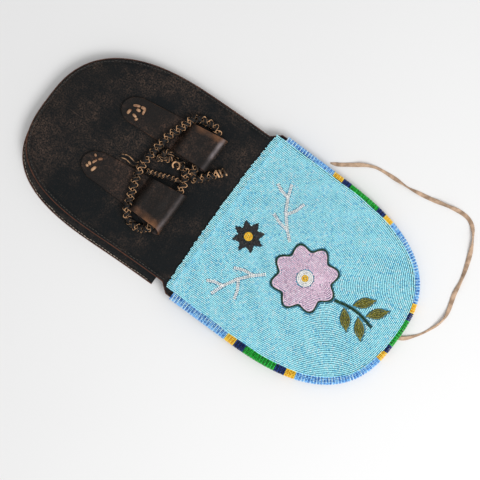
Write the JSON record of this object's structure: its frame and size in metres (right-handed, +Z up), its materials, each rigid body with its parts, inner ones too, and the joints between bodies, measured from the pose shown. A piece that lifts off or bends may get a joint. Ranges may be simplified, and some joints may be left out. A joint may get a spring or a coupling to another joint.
{
  "type": "beaded belt pouch",
  "caption": "Flat leather belt pouch with a round end, belt loops, a braided cord and a beaded flap that folds over its front.",
  "frame": {"origin": "middle of the open pouch's bounding box, on the surface it lies on", "axes": "+X from the pouch's round end to the flap's tip, +Z up out of the beadwork, +Y across"},
  "size_m": [0.4539, 0.2494, 0.0263],
  "materials": {
    "pouch_leather": "worn satin",
    "strap_leather": "worn satin",
    "braided_leather": "satin",
    "rawhide": "matte",
    "waxed_thread": "matte",
    "backing_cloth": "matte",
    "beads_turquoise": "gloss",
    "beads_light_blue": "gloss",
    "beads_gold": "gloss",
    "beads_navy": "gloss",
    "beads_green": "gloss",
    "beads_lavender": "gloss",
    "beads_dark_green": "gloss",
    "beads_olive": "gloss",
    "beads_white": "gloss",
    "beads_black": "gloss"
  },
  "bodies": {
    "pouch": {"back_panel": "pouch_leather", "front_panel": "pouch_leather", "gusset": "pouch_leather", "back_seam_thread": "waxed_thread", "front_seam_thread": "waxed_thread", "belt_loop_left": "strap_leather", "belt_loop_right": "strap_leather", "lacing_left": "rawhide", "lacing_right": "rawhide", "foot_thread_left": "waxed_thread", "foot_thread_right": "waxed_thread", "braided_cord": "braided_leather", "braid_crossing": "braided_leather", "braid_loose_ends": "braided_leather", "braid_knot": "braided_leather"},
    "flap": {"flap_leather": "pouch_leather", "tie_thong": "rawhide", "thong_anchor": "rawhide", "bead_backing": "backing_cloth", "bead_field": "beads_turquoise", "blossom_outline": "beads_dark_green", "blossom_petals": "beads_lavender", "blossom_heart": "beads_white", "blossom_eye": "beads_gold", "stem": "beads_dark_green", "leaf_near_left": "beads_olive", "leaf_near_right": "beads_olive", "leaf_far_left": "beads_olive", "leaf_far_right": "beads_olive", "star": "beads_black", "star_heart": "beads_gold", "twig_left": "beads_white", "twig_right": "beads_white", "border_01_light_blue": "beads_light_blue", "border_02_gold": "beads_gold", "border_03_navy": "beads_navy", "border_04_green": "beads_green", "border_05_navy": "beads_navy", "border_06_gold": "beads_gold", "border_07_light_blue": "beads_light_blue", "border_08_gold": "beads_gold", "border_09_navy": "beads_navy", "border_10_green": "beads_green", "border_11_navy": "beads_navy", "border_12_gold": "beads_gold", "border_13_light_blue": "beads_light_blue", "border_14_gold": "beads_gold", "border_15_navy": "beads_navy", "border_16_green": "beads_green", "border_17_navy": "beads_navy", "border_18_gold": "beads_gold", "border_19_light_blue": "beads_light_blue"}
  },
  "joints": [
    {"name": "flap_fold", "type": "hinge", "parent": "pouch", "child": "flap", "pos_m": [-0.00235, 0, 0.00425], "axis": [0, 1, 0], "range_deg": [0, 177.3]}
  ]
}
